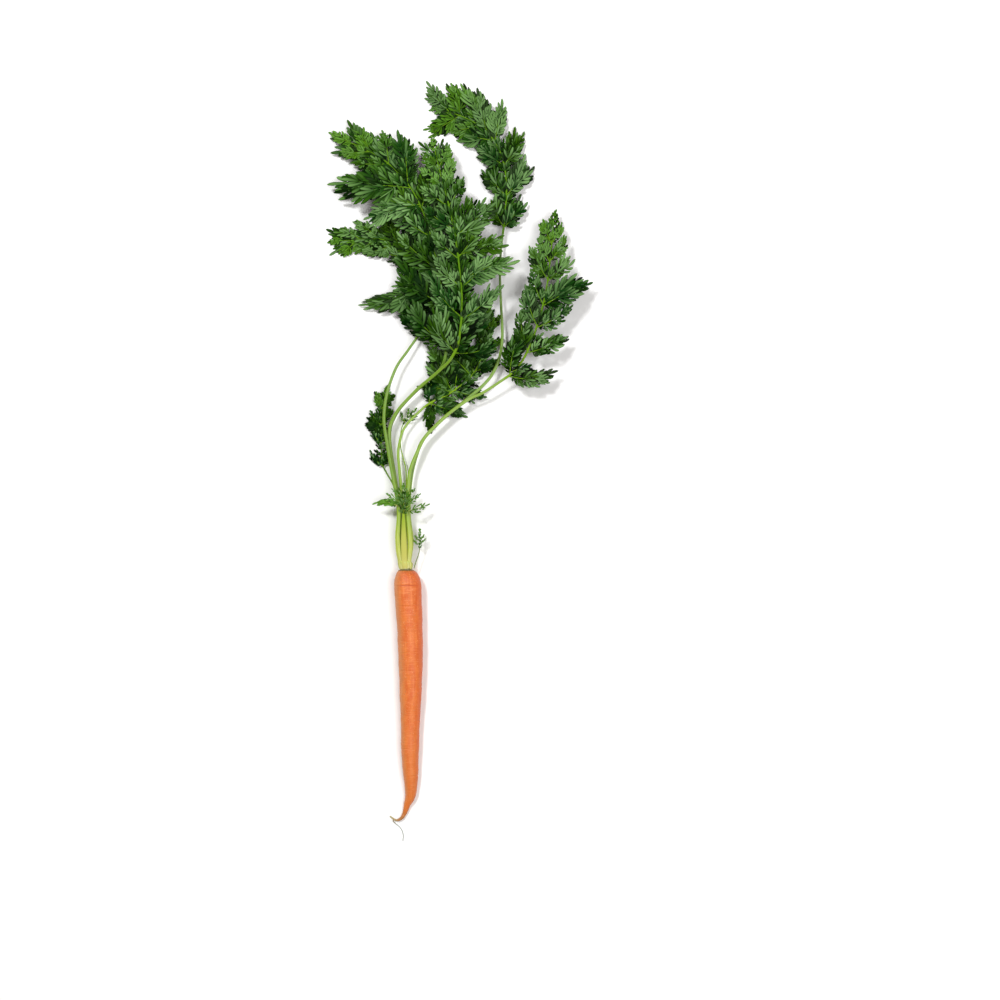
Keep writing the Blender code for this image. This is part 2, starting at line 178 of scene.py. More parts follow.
def root_mesh():
    """Points, faces and the finish's measures of the root."""
    plan = Path(ROOT_LINE, 24)
    distances = np.arange(0, plan.length, ROOT_STEP)
    x, y, radius = plan.at(distances).T
    bend = np.clip((-y - BEND_START) / BEND_LENGTH, 0, 1)[:, None]
    ahead = plan.heading(distances)[:, :2]
    ahead = ahead / np.linalg.norm(ahead, axis=1, keepdims=True)
    heading = (1 - bend) * np.array([0.0, -1.0]) + bend * ahead
    heading /= np.linalg.norm(heading, axis=1, keepdims=True)
    body = np.where(y > SHOULDER_Y, SHOULDER_RADIUS, radius)
    lift = np.where(radius < 1.5, TAIL_RISE * np.clip(-y - TAIL_START, 0, None), 0.0)
    height = body - FLAT_DEPTH + lift

    inner = len(DIMPLE)
    x = np.concatenate([np.full(inner, x[0]), x])
    y = np.concatenate([[d[1] for d in DIMPLE], y])
    radius = np.concatenate([[d[0] for d in DIMPLE], radius])
    height = np.concatenate([np.full(inner, height[0]), height])
    heading = np.vstack([np.tile(heading[0], (inner, 1)), heading])

    turn = 2 * np.pi * (np.arange(ROOT_SIDES) + 0.5) / ROOT_SIDES
    turn_grid, y_grid = np.meshgrid(turn, y)
    swell = 1 + 0.012 * np.sin(3 * turn_grid + y_grid / 17) + 0.008 * np.sin(y_grid / 5.5)
    fade = np.clip((radius - 1.2) / 4, 0, 1) * np.clip(np.arange(len(radius)) / 8 - 0.5, 0, 1)
    relief = root_relief(y_grid, turn_grid, random.Random(SKIN_SEED))
    reach = radius[:, None] * swell + fade[:, None] * relief
    aside = np.stack([heading[:, 1], -heading[:, 0]], -1)
    vertices = np.empty((len(y), ROOT_SIDES, 3))
    vertices[..., 0] = x[:, None] + aside[:, 0:1] * np.cos(turn) * reach
    vertices[..., 1] = y[:, None] + aside[:, 1:2] * np.cos(turn) * reach
    vertices[..., 2] = np.maximum(height[:, None] + np.sin(turn) * reach, 0.0)
    ends, gap = crease_at(y_grid, turn_grid, *TOP_CREASE)
    measures = {
        "along": -y_grid.ravel(),
        "crease": (ends * np.exp(-gap ** 2)).ravel(),
        "east": -np.cos(turn_grid).ravel(),
        "north": np.sin(turn_grid).ravel(),
        "radius": np.repeat(radius, ROOT_SIDES),
        "dimple": np.repeat(np.clip(1 - np.arange(len(y)) / (inner + 3), 0, 1), ROOT_SIDES),
    }
    return vertices.reshape(-1, 3), ring_faces(len(y), ROOT_SIDES), measures


class Value:
    """A socket's value in a finish, so that shader maths reads as maths."""

    def __init__(self, finish, socket):
        self.finish = finish
        self.socket = socket

    def math(self, operation, *others, swap=False):
        values = [self, *others]
        if swap:
            values.reverse()
        return self.finish.node("Math", {"operation": operation}, dict(enumerate(values)))

    def __add__(self, other):
        return self.math("ADD", other)

    __radd__ = __add__

    def __sub__(self, other):
        return self.math("SUBTRACT", other)

    def __rsub__(self, other):
        return self.math("SUBTRACT", other, swap=True)

    def __mul__(self, other):
        return self.math("MULTIPLY", other)

    __rmul__ = __mul__

    def between(self, low, high):
        """0 at low, 1 at high, and smooth on the way."""
        return self.finish.node("MapRange", {"interpolation_type": "SMOOTHSTEP"},
                                {"Value": self, "From Min": low, "From Max": high})


class Finish:
    """A material, made node by node."""

    def __init__(self, name, roughness=0.5, **sockets):
        self.material = bpy.data.materials.new(name)
        self.material.use_nodes = True
        self.tree = self.material.node_tree
        self.shader = self.tree.nodes["Principled BSDF"]
        self.feed(Roughness=roughness)
        for label, value in sockets.items():
            self.shader.inputs[label.replace("_", " ")].default_value = value

    def node(self, kind, settings, sockets, output=0):
        """One node: its settings first, then the values or links of its sockets."""
        node = self.tree.nodes.new("ShaderNode" + kind)
        for key, value in settings.items():
            setattr(node, key, value)
        for key, value in sockets.items():
            if isinstance(value, Value):
                self.tree.links.new(value.socket, node.inputs[key])
            else:
                node.inputs[key].default_value = value
        return Value(self, node.outputs[output])

    def measure(self, label):
        """A value that the mesh holds for each of its points."""
        return self.node("Attribute", {"attribute_name": label}, {}, "Fac")

    def vector(self, x, y, z):
        return self.node("CombineXYZ", {}, {0: x, 1: y, 2: z})

    def noise(self, place, scale, detail=3.0, roughness=0.5):
        sockets = {"Vector": place, "Scale": scale, "Detail": detail, "Roughness": roughness}
        return self.node("TexNoise", {}, sockets)

    def mix(self, share, low, high):
        """From the colour low to the colour high."""
        return self.node("Mix", {"data_type": "RGBA"}, {0: share, 6: low, 7: high}, 2)

    def bump(self, height, strength, distance):
        return self.node("Bump", {}, {"Height": height, "Strength": strength, "Distance": distance})

    def feed(self, **values):
        """Sets or links the shader's own sockets."""
        for label, value in values.items():
            socket = self.shader.inputs[label.replace("_", " ")]
            if isinstance(value, Value):
                self.tree.links.new(value.socket, socket)
            else:
                socket.default_value = value


def tint(red, green, blue):
    """A colour as it looks on a screen, from 0 to 255, in the shader's own scale."""
    shares = [part / 255 for part in (red, green, blue)]
    return (*[s / 12.92 if s <= 0.04 else ((s + 0.055) / 1.055) ** 2.4 for s in shares], 1.0)


def skin_finish():
    """Orange skin: paler rings and streaks, brown scars and a brown tail. Painted shade darkens the crease
    near the top, the dimple and the east side, and a painted sheen makes the west side paler.
    """
    skin = Finish("carrot_skin", 0.5, Subsurface_Weight=0.12, Subsurface_Scale=0.003)
    skin.feed(Subsurface_Radius=(1.0, 0.35, 0.12))
    along, east, north = skin.measure("along"), skin.measure("east"), skin.measure("north")
    rings = skin.noise(skin.vector(east * 1.6, along * 2.1, north * 1.6), 1.0, 5.0, 0.62)
    patches = skin.noise(skin.vector(east * 2.2, along * 0.09, north * 2.2), 1.0, 3.0)
    streaks = skin.noise(skin.vector(east * 9, along * 0.05, north * 9), 1.0, 2.0)
    colour = skin.mix(patches.between(0.3, 0.7), tint(213, 98, 30), tint(225, 118, 44))
    colour = skin.mix(rings.between(0.5, 0.72) * 0.5, colour, tint(247, 160, 100))
    colour = skin.mix(rings.between(0.42, 0.25) * 0.45, colour, tint(196, 84, 34))
    colour = skin.mix(streaks.between(0.52, 0.75) * 0.3, colour, tint(250, 158, 92))
    scars = skin.noise(skin.vector(east * 5, along * 1.15, north * 5), 1.0, 1.0)
    colour = skin.mix(scars.between(0.66, 0.74) * 0.6, colour, tint(176, 106, 62))
    rough = skin.noise(skin.vector(east * 5, along * 0.9, north * 5), 1.0, 5.0, 0.7)
    colour = skin.mix(along.between(17, 1) * 0.85 * rough.between(0.42, 0.62), colour, tint(196, 90, 40))
    colour = skin.mix(along.between(5, 0) * 0.5, colour, tint(190, 100, 50))
    specks = skin.noise(skin.vector(east * 9, along * 1.5, north * 9), 1.0, 1.0)
    colour = skin.mix(specks.between(0.66, 0.74) * 0.5, colour, tint(255, 186, 132))
    # Painted shade: the crease near the top is coloured darker and redder, as if shade fell in it.
    colour = skin.mix(skin.measure("crease") * 0.75, colour, tint(178, 60, 22))
    # Painted sheen: the west side of the root is made paler, as where it catches the light.
    colour = skin.mix(east.between(-0.2, -1.0) * 0.65, colour, tint(204, 140, 80))
    # Painted shade: the east side of the root is made darker and redder, as if turned from the light.
    colour = skin.mix(east.between(0.4, 1.0) * 0.5, colour, tint(214, 88, 28))
    colour = skin.mix(along.between(90, 170) * 0.45, colour, tint(214, 124, 52))
    colour = skin.mix(along.between(178, 190), colour, tint(166, 112, 56))
    colour = skin.mix(along.between(0.9, 0.2) * 0.75, colour, tint(104, 84, 30))
    colour = skin.mix(skin.measure("radius").between(1.0, 0.6), colour, tint(176, 164, 120))
    # Painted shade: the dimple in the root's top, under the crown, is darkened.
    colour = skin.mix(skin.measure("dimple").between(0.1, 0.75), colour, tint(96, 66, 34))
    fine = skin.noise(skin.vector(east * 4, along * 7, north * 4), 1.0, 4.0, 0.7)
    skin.feed(
        Base_Color=colour,
        Roughness=0.42 + 0.16 * fine,
        Normal=skin.bump(rings * 0.6 + fine * 0.4, 0.5, 0.0004),
    )
    return skin.material


vertices, faces, measures = root_mesh()
make_piece("root_skin", vertices, faces, skin_finish(), measures, ["root"])


# --- The fine roots -------------------------------------------------------------------------------
# Most of the fine roots broke off when the carrot was pulled. One pale hair is left, and it leaves the
# tail near its end and curls over the surface.

HAIR_LINE = [
    (-9.2, -188.7, 4.0), (-8.4, -190.6, 2.0), (-6.6, -192.5, 0.8), (-4.4, -194.4, 0.3),
    (-2.6, -197.3, 0.3), (-1.7, -201.0, 0.3), (-2.1, -204.8, 0.3),
]
UP = np.array([0.0, 0.0, 1.0])


def hair_mesh(points, sides=8):
    """A round hair that thins towards its end."""
    line = Path(points, 6)
    distances = np.linspace(0, line.length, 40)
    heading = line.heading(distances)
    aside = np.cross(heading, UP)
    aside /= np.linalg.norm(aside, axis=1, keepdims=True)
    turn = 2 * np.pi * np.arange(sides) / sides
    thick = np.linspace(0.4, 0.3, len(distances))[:, None, None]
    upward = np.cross(aside, heading)
    out = aside[:, None] * np.cos(turn)[None, :, None] + upward[:, None] * np.sin(turn)[None, :, None]
    vertices = line.at(distances)[:, None] + out * thick
    vertices[..., 2] = np.maximum(vertices[..., 2], 0.0)
    return vertices.reshape(-1, 3), ring_faces(len(distances), sides)


hair = Finish("root_hair", 0.6)
hair_colour = hair.mix(hair.measure("along").between(0.0, 0.3), tint(150, 128, 84), tint(172, 178, 170))
hair.feed(Base_Color=hair_colour)
vertices, faces = hair_mesh(HAIR_LINE)
measures = {"along": np.linspace(0, 1, len(vertices))}
make_piece("fine_root", vertices, faces, hair.material, measures)


# --- The crown ------------------------------------------------------------------------------------
# The crown is the short stem that the root's top ends in. The feet of the stalks clasp it, one round the
# other, so it shows as pale ribs, and a brown line of dried scales marks where it leaves the root.

CROWN_HEIGHT = SHOULDER_RADIUS - FLAT_DEPTH
CROWN_MIDDLE = 0.9
CROWN_PROFILE = [      # y and radius
    (-1.9, 4.2), (-0.8, 4.55), (0.6, 4.5), (2.5, 4.6), (4.5, 4.75), (6.2, 4.7), (7.2, 4.0), (7.6, 2.5),
]
CROWN_SIDES = 84
CROWN_RIBS = 9


def crown_lean(y):
    """How far the crown's axis leans aside at y."""
    return -0.9 * (y + CROWN_SUNK) / 8.4


def crown_mesh():
    """Points, faces and the finish's measures of the crown."""
    profile = Path([(y, r) for y, r in CROWN_PROFILE], 8)
    y, radius = profile.points.T
    turn = 2 * np.pi * np.arange(CROWN_SIDES) / CROWN_SIDES
    turn_grid, y_grid = np.meshgrid(turn, y)
    rib = np.abs(np.sin(CROWN_RIBS / 2 * (turn_grid + 0.02 * y_grid)))
    reach = radius[:, None] * (0.9 + 0.11 * rib ** 0.7)
    vertices = np.stack([CROWN_MIDDLE + crown_lean(y_grid) + reach * np.cos(turn_grid), y_grid,
                         CROWN_HEIGHT + reach * np.sin(turn_grid)], -1)
    measures = {"along": y_grid.ravel(), "rib": rib.ravel(), "turn": turn_grid.ravel()}
    return vertices.reshape(-1, 3), ring_faces(len(y), CROWN_SIDES), measures


def crown_finish():
    """Pale flesh, greener away from the root, and brown where it leaves it."""
    crown = Finish("pale_crown", 0.42, Subsurface_Weight=0.15, Subsurface_Scale=0.003)
    crown.feed(Subsurface_Radius=(0.8, 1.0, 0.3))
    along, rib = crown.measure("along"), crown.measure("rib")
    grain = crown.noise(crown.vector(crown.measure("turn") * 9, along * 0.5, 0.0), 1.0, 3.0)
    colour = crown.mix(along.between(0, 7), tint(214, 206, 138), tint(190, 200, 96))
    colour = crown.mix(rib.between(0.5, 0.05) * 0.6, colour, tint(140, 134, 60))
    colour = crown.mix(grain.between(0.55, 0.75) * 0.35, colour, tint(226, 222, 168))
    aslant = along - 0.5 * crown.measure("turn").math("COSINE")
    colour = crown.mix(aslant.between(1.7, 0.6) * 0.9, colour, tint(78, 72, 22))
    crown.feed(Base_Color=colour, Normal=crown.bump(grain, 0.4, 0.0003))
    return crown.material


vertices, faces, measures = crown_mesh()
make_piece("crown_ribs", vertices, faces, crown_finish(), measures, ["crown"])


# --- The stalks -----------------------------------------------------------------------------------
# Each leaf hangs on a long juicy stalk. Its foot is broad and pale and clasps the crown. Above it the
# stalk is ribbed like celery, with a groove along the top, and turns green. It thins out as it runs into
# the frond.

# What a leaf's values say, with angles in degrees:
# line       the rib's way from the crown to where the end leaflet starts
# bare       how much of it is stalk, below the first pair of leaflets
# split      whether stalk and frond are two pieces, as on a full-grown leaf
# width      the stalk's width, and thin makes a small stalk thinner
# reach      the first pair's length. Pairs shrink by narrowing up to the end, or grow if it is negative
# spread     the first and the last pair's angle to the rib
# roll       how far a leaflet is turned about its own rib
# droop      how far its tip hangs, as a share of its length
# breadth    how many times the usual width the leaflets have
# extra      leaflets apart from the pairs: place along the line, angle from +X to +Y, length and bow
# between    where single blades grow between two pairs, as shares of the gap
# green      the stalk's green, from yellowish at 0 to deep at 1
# dark       how much darker the leaflets are, and curl how far their lobes' tips bend down
FROND = dict(width=2.8, roll=18, narrowing=0.52, spread=(52, 36), droop=0.10, between=(0.22, 0.5, 0.78),
             split=True)
SMALL = dict(width=1.5, roll=8, narrowing=0.4, spread=(60, 40), droop=0.05, split=False)
LEAVES = {
    "left": dict(
        FROND,
        line=[
            (-3.0, 7.3, 11.8), (-4.6, 15, 12.5), (-5.3, 26, 12.9), (-4.5, 42, 13.0), (-6.2, 56, 13.0),
            (-9.2, 71, 13.0), (-13.7, 97.5, 13.4), (-15.6, 113, 13.6), (-14, 129, 13.6),
            (-10.4, 142, 12.5), (-5.3, 154, 11), (3, 166, 9), (11.3, 180, 7.5), (16, 202, 7),
            (13.5, 223.5, 6.5), (2.3, 240, 6), (-18.8, 249, 4.5), (-39.8, 248.5, 2), (-46, 248, 1.0),
        ],
        bare=178, pairs=7, reach=33, width=2.9, extra=[(219, 227, 48, -0.42)], green=0.75,
    ),
    "upper_left": dict(
        FROND,
        line=[
            (-2.4, 7.3, 6.6), (-3.6, 20, 5.4), (-4.1, 43, 5), (-8.0, 71, 5), (-11.2, 92, 5.2),
            (-11.6, 105, 5.6), (-8.7, 113.6, 6), (-4, 121.3, 6.6), (3.2, 129.3, 7.4), (11.2, 137, 8.2),
            (18.8, 143.5, 9.6), (26, 150, 12), (30.5, 160, 14.6), (31, 178, 17), (28.5, 202, 17.5),
            (24, 231, 17.5), (17, 259, 17), (5, 285, 15.5), (-13, 305, 12), (-33, 317.5, 8),
            (-40, 320.5, 6.5),
        ],
        bare=178, pairs=8, reach=43, roll=13,
        extra=[(300, 175, 54, 0.06), (286, 192, 44, 0.06), (304, 94, 36, 0.0)], green=0.9,
    ),
    "middle": dict(
        FROND,
        line=[
            (-3.7, 7.3, 9.1), (-5.1, 18, 8.9), (-4.5, 43, 8.9), (-8.6, 71, 9.1), (-11.5, 92, 9.3),
            (-11.7, 105, 9.6), (-9, 113.3, 10), (-4.3, 121, 10.6), (3, 129, 11.4), (11, 137, 12.6),
            (18.8, 143.3, 14.4), (27, 150, 17.5), (35, 158, 22), (41, 172, 27), (43, 200, 29.5),
            (40, 235, 29.5), (34, 268, 27), (27, 295, 22), (23, 312, 17),
        ],
        bare=178, pairs=8, reach=35, width=3.1, roll=15,
        extra=[(264, 38, 40, 0.05), (250, 17, 36, 0.05), (232, 22, 40, 0.05)], green=0.55,
    ),
    "top": dict(
        FROND,
        line=[
            (2.9, 7.3, 8.8), (4.3, 22.5, 8.6), (2.6, 43, 8.8), (4.6, 70, 8.6), (9.8, 90, 8.6),
            (14.7, 99.4, 8.9), (23.1, 108.4, 9.3), (32, 116.7, 9.3), (41, 123.8, 9.3), (50, 131, 9.4),
            (58, 138, 9.6), (65.5, 147, 9.8), (71, 160, 9.8), (73, 176, 9.6), (72, 199, 9.0),
            (71.2, 220, 8.2), (72, 241, 7.2), (74.6, 263, 6.6), (76, 280, 6.2), (75.6, 297, 5.8),
            (72, 312.5, 5.2), (64.5, 326, 4.4), (52, 337, 3.2), (39, 343, 2.0), (28, 345.5, 1.0),
        ],
        bare=276, pairs=6, reach=25, width=3.0, roll=14, spread=(36, 58), narrowing=-0.05,
        extra=[(352, 104, 29, 0.0), (384, 133, 25, 0.0)], breadth=1.3, green=0.6, dark=-0.12,
    ),
    "right": dict(
        FROND,
        line=[
            (2.8, 7.3, 11.9), (3.9, 20, 12.4), (2.0, 43, 12.6), (3.0, 68, 12.3), (5.0, 78, 12.3),
            (9.8, 89.5, 12.3), (14.7, 99, 12.3), (23.1, 108, 12.3), (32, 116.3, 12.3),
            (39.8, 122.3, 12.6), (48.8, 128.4, 13), (59, 133.1, 13.6), (71.3, 141, 14.6), (82, 149, 15.6),
            (91, 162, 17), (98, 180, 17.8), (103, 197, 18), (106.5, 214, 18), (109.5, 240, 16.5),
            (111, 256, 14),
        ],
        bare=174, pairs=7, reach=34, width=3.0, roll=16, spread=(48, 27), narrowing=0.55,
        extra=[(232, 30, 40, 0.0)], between=(0.3,), green=0.25, dark=-0.15,
    ),
    "inner": dict(
        FROND,
        line=[
            (-0.4, 7.3, 10.5), (-0.9, 22.5, 10.0), (-1.0, 41, 10.0), (-4.4, 76.5, 8.8), (-5.2, 87, 8.8),
            (-4.3, 94.7, 8.8), (-2.0, 103.7, 8.6), (2.2, 110.4, 8.2), (8.5, 116.8, 7.4), (16.3, 123.9, 6),
            (24, 128.2, 4.8), (32, 132, 4), (41.3, 138.5, 4), (51.8, 148.5, 4), (59.3, 165, 3.6),
            (62, 180, 2.5), (62.5, 192, 1.0),
        ],
        bare=127, pairs=5, reach=25, width=2.6, roll=12,
        extra=[(129, 262, 22, 0.0), (146, 115, 40, 0.05), (146, 165, 24, 0.0), (165, 132, 34, 0.05)],
        green=0.1, dark=0.25,
    ),
    "low_left": dict(
        FROND,
        line=[
            (0.3, 7.3, 5.3), (-1.2, 22.5, 2.6), (-4, 45, 2.0), (-8.5, 62, 1.8), (-14.3, 72.8, 2.0),
            (-17.6, 80, 2.4), (-18.3, 92, 3), (-18.2, 106, 4), (-18.3, 119, 4), (-15.4, 131, 3.5),
        ],
        bare=74, pairs=4, reach=13, width=1.5, roll=12, narrowing=-0.1, spread=(36, 38),
        extra=[(96, 126, 19, 0.0)], green=1.0, dark=0.35, curl=0.1,
    ),
    "young": dict(
        SMALL,
        line=[(-0.2, 7.3, 13.4), (-0.6, 22, 15.4), (-0.8, 38, 16.4), (-0.8, 47, 16.6), (-0.6, 58, 16.4)],
        bare=38, pairs=3, reach=20, width=3.6, narrowing=0.8, spread=(82, 40), droop=0.22, green=0.0,
    ),
    "small": dict(
        SMALL,
        line=[
            (0.3, 7.3, 7.9), (0.6, 22.5, 7.2), (0.8, 52.5, 6), (0.6, 74, 5.2), (-1.7, 84.2, 4.8),
            (-3.6, 93.2, 4.4), (-3.2, 105, 4), (0, 112.5, 3.6), (5, 118, 3.3),
        ],
        bare=106, pairs=2, reach=8, green=0.35,
    ),
    "tiny": dict(
        SMALL,
        line=[(6.8, 1.3, 9.6), (8.1, 6, 9.8), (10.2, 12, 10), (11.2, 18, 10), (11.0, 26, 10.5)],
        bare=19, pairs=2, reach=6, thin=0.6, green=0.9,
    ),
}
STALK_SIDES = 36
STALK_STEP = 1.6
STALK_RIBS = 7
GROOVE = 0.14              # the groove's depth as a share of the half width

# How much broader a long stalk's foot is at some distances from where its line starts.
CLASP_MARKS = (-9, -4, 0, 8, 18, 30, 45, 60)
CLASP = (1.3, 1.6, 1.55, 1.5, 1.42, 1.22, 1.05, 1.0)
FOOT_MARKS = ((1.2, 3.2), (2.3, 3.6), (4.3, 3.8))      # below it: y and distance from the crown's axis
SEAM = 4.85                # how far below the first leaflets the stalk's piece meets the frond's


class Heap:
    """Points, faces and measures of many small solids that make one piece."""

    def __init__(self, labels):
        self.vertices = []
        self.faces = []
        self.count = 0
        self.measures = {label: [] for label in labels}

    def add(self, vertices, faces, **measures):
        self.vertices.append(vertices)
        self.faces += [tuple(i + self.count for i in face) for face in faces]
        for label, values in self.measures.items():
            values.append(np.broadcast_to(measures.get(label, 0.0), len(vertices)))
        self.count += len(vertices)

    def piece(self, name, finish, slot, replaced):
        measures = {label: np.concatenate(values) for label, values in self.measures.items()}
        return make_piece(name, np.vstack(self.vertices), self.faces, finish, measures, replaced)


def grown_path(leaf):
    """The leaf's line with the foot that clasps the crown, and the length of that foot. The leaf in the
    crown's middle and the one beside the crown have no such foot."""
    x, y, z = leaf["line"][0]
    out = np.array([x - CROWN_MIDDLE - crown_lean(y), z - CROWN_HEIGHT])
    reach = np.linalg.norm(out)
    if reach < 1.5 or y < 7:
        return Path(leaf["line"]), 0.0
    side, up = out / reach
    foot = [(CROWN_MIDDLE + crown_lean(y) + side * r, y, CROWN_HEIGHT + up * r) for y, r in FOOT_MARKS]
    line = Path([*foot, *leaf["line"]])
    return line, float(line.marks[len(foot) * PATH_FINENESS])


def half_width(leaf, length, distance):
    """Half the stalk's width this far from the crown: broad where it clasps the crown, then thinner to
    the end."""
    full = leaf["width"] / 2
    foot = 0.84 + 0.16 * np.clip(distance / 14, 0.0, 1.0)
    if leaf["width"] > 2:
        clasp = np.interp(distance, CLASP_MARKS, CLASP)
    else:
        clasp = leaf.get("thin", 1.0)
    thinner = 1 - 0.66 * (np.clip(distance, 0, None) / length) ** 1.3
    if not leaf["split"] and leaf["width"] > 2:
        thinner = thinner * np.interp(distance, (leaf["bare"] - 8, leaf["bare"] + 4), (1.0, 0.3))
    return np.maximum(full * foot * clasp * thinner, 0.35 if leaf["width"] < 2 else 0.5)


def ribbed_tube(line, distances, width, flatness, sides, ribs, groove, first=0.0):
    """A stalk's points, faces and measures: ridges all round and a groove along the top."""
    heading = line.heading(distances)
    aside = np.cross(heading, UP)
    aside /= np.linalg.norm(aside, axis=1, keepdims=True)
    top = np.cross(aside, heading)
    turn = 2 * np.pi * (np.arange(sides) + 0.5) / sides
    ridge = 0.5 + 0.5 * np.cos(ribs * turn)
    channel = np.exp(-((turn - np.pi / 2) / 0.42) ** 2)
    reach = 1 - 0.1 * (1 - ridge) - groove * channel
    out = (aside[:, None] * (np.cos(turn) * reach)[None, :, None]
           + top[:, None] * (np.sin(turn) * reach)[None, :, None] * np.reshape(flatness, (-1, 1, 1)))
    vertices = line.at(distances)[:, None] + out * np.reshape(width, (-1, 1, 1))
    vertices[..., 2] = np.maximum(vertices[..., 2], 0.0)
    rings = len(distances)
    return vertices.reshape(-1, 3), ring_faces(rings, sides), {
        "along": np.repeat(distances + first, sides),
        "ridge": np.tile(ridge - channel, rings),
        "turn": np.tile(turn, rings),
    }


def stalk_colour(stalk, green, along, ridge, grain):
    """Cream at the crown, then yellow-green, then the green of the leaf's age."""
    far = tuple(a + (b - a) * green for a, b in zip(tint(134, 170, 44), tint(88, 132, 18)))
    colour = stalk.mix(along.between(-6, 10), tint(196, 194, 112), tint(180, 190, 78))
    colour = stalk.mix(along.between(6, 34), colour, tint(142, 172, 40))
    colour = stalk.mix(along.between(24, 75), colour, far)
    colour = stalk.mix(along.between(150, 260), colour, tint(78, 118, 34))
    colour = stalk.mix(ridge.between(0.1, 1.0) * 0.3, colour, tint(190, 208, 92))
    return stalk.mix(grain.between(0.5, 0.8) * 0.4, colour, tint(88, 124, 30))


def stalk_finish(name, green):
    """Pale at the foot, yellow-green above it, then as green as the leaf's age makes it. Ridges are paler
    than the grooves between them."""
    stalk = Finish(name, 0.38, Subsurface_Weight=0.12, Subsurface_Scale=0.002)
    stalk.feed(Subsurface_Radius=(0.6, 1.0, 0.2))
    along, ridge = stalk.measure("along"), stalk.measure("ridge")
    grain = stalk.noise(stalk.vector(stalk.measure("turn") * 6, along * 0.12, 0.0), 1.0, 3.0)
    colour = stalk_colour(stalk, green, along, ridge, grain)
    stalk.feed(Base_Color=colour, Normal=stalk.bump(grain, 0.3, 0.0002))
    return stalk.material


def stalk_tube(leaf, line, foot, end):
    """The leaf's stalk from the crown on: flat and broad at its foot, round above it."""
    distances = np.append(np.arange(0, end, STALK_STEP), end)
    width = half_width(leaf, line.length - foot, distances - foot)
    flatness = np.interp(distances - foot, (0, 25, 50), (0.6, 0.7, 0.86))
    return ribbed_tube(line, distances, width, flatness, STALK_SIDES, STALK_RIBS, GROOVE, -foot)


STALK_LABELS = ("along", "ridge", "turn")
for name, leaf in LEAVES.items():
    if not leaf["split"]:
        continue
    line, foot = grown_path(leaf)
    stalk = Heap(STALK_LABELS)
    tube, tube_faces, measures = stalk_tube(leaf, line, foot, foot + leaf["bare"] - SEAM)
    stalk.add(tube, tube_faces, **measures)
    stalk.piece("stalk_" + name + "_ribbed", stalk_finish("stalk_" + name, leaf["green"]), "leaf_stalk",
                ["stalk_" + name])


# --- The fronds -----------------------------------------------------------------------------------
# A carrot's leaf is divided three times: pairs of leaflets on the stalk's thinner end, small blades on
# those, and on them flat pointed lobes, folded a little along their veins. They are deep green and paler
# at the young tips. Painted shade darkens the blades under others and the lobes' feet and edges, so the
# top ones stay paler, and a painted sheen lightens the palest.

BLADE_THICKNESS = 0.26
LEAFLET_HALF = 0.27       # a leaflet's half width as a share of its length
LOBE_SHARES = (0.0, 0.3, 0.68, 0.9, 1.0)     # where a lobe's cross sections stand along it
LOBE_WIDTHS = (0.4, 0.72, 1.0, 0.66, 0.0)    # and how wide it is there
ARCH = 0.10               # how far a leaflet's middle rises, as a share of its length
FOLD = 0.16               # how far it falls away from its rib
LOWEST_TIP = 0.5          # no leaflet heads for a point lower than this above the surface
LOWEST_BLADE = 0.15       # and no blade lies lower than this


def lobe_solid():
    """One narrow lobe as a closed solid: points (share of the length, aside, face) and faces."""
    points = [(share, aside, face) for share in LOBE_SHARES[:-1]
              for aside, face in ((-1, 0), (0, 1), (1, 0), (0, -1))]
    tip = len(points)
    points.append((1.0, 0.0, 0.0))
    faces = [(0, 1, 2, 3)]
    for first in range(0, tip, 4):
        for k in range(4):
            a, b = first + k, first + (k + 1) % 4
            faces.append((a, a + 4, b + 4, b) if first + 4 < tip else (a, tip, b))
    return np.array(points, float), faces


LOBE_POINTS, LOBE_FACES = lobe_solid()
# Painted shade: a lobe's foot, which lies under the lobes around it, is darkened and its tip made paler.
FOOT_SHADE_TONE = 0.4            # how much paler a lobe's tip is than its foot


def turned(vector, axis, angle):
    """The vector, turned about a unit axis."""
    return (vector * math.cos(angle) + np.cross(axis, vector) * math.sin(angle)
            + axis * np.dot(axis, vector) * (1 - math.cos(angle)))


class Leaflet:
    """One leaflet of a pair: an arched, slightly folded surface that its small blades lie on."""

    def __init__(self, foot, heading, up, length, bow, droop):
        lowest = (LOWEST_TIP - foot[2]) / length
        if heading[2] < lowest:
            heading = np.array([heading[0], heading[1], lowest])
            heading = heading / np.linalg.norm(heading)
        self.foot, self.heading, self.up = foot, heading, up
        self.length, self.bow, self.droop = length, bow, droop
        self.tone = self.hue = 0.5
        self.across = np.cross(up, heading)
        self.across /= np.linalg.norm(self.across)

    def surface(self, u, v, w):
        """Points at u along the leaflet, v across it and w above it."""
        share = u / self.length
        rise = self.length * (ARCH * np.sin(np.pi * np.clip(share, 0, 1)) - self.droop * share ** 2)
        rise = rise - FOLD * np.abs(v) + w
        sideways = v + self.bow * self.length * share ** 2
        return (self.foot + self.heading * u[:, None] + self.across * sideways[:, None]
                + self.up * rise[:, None])


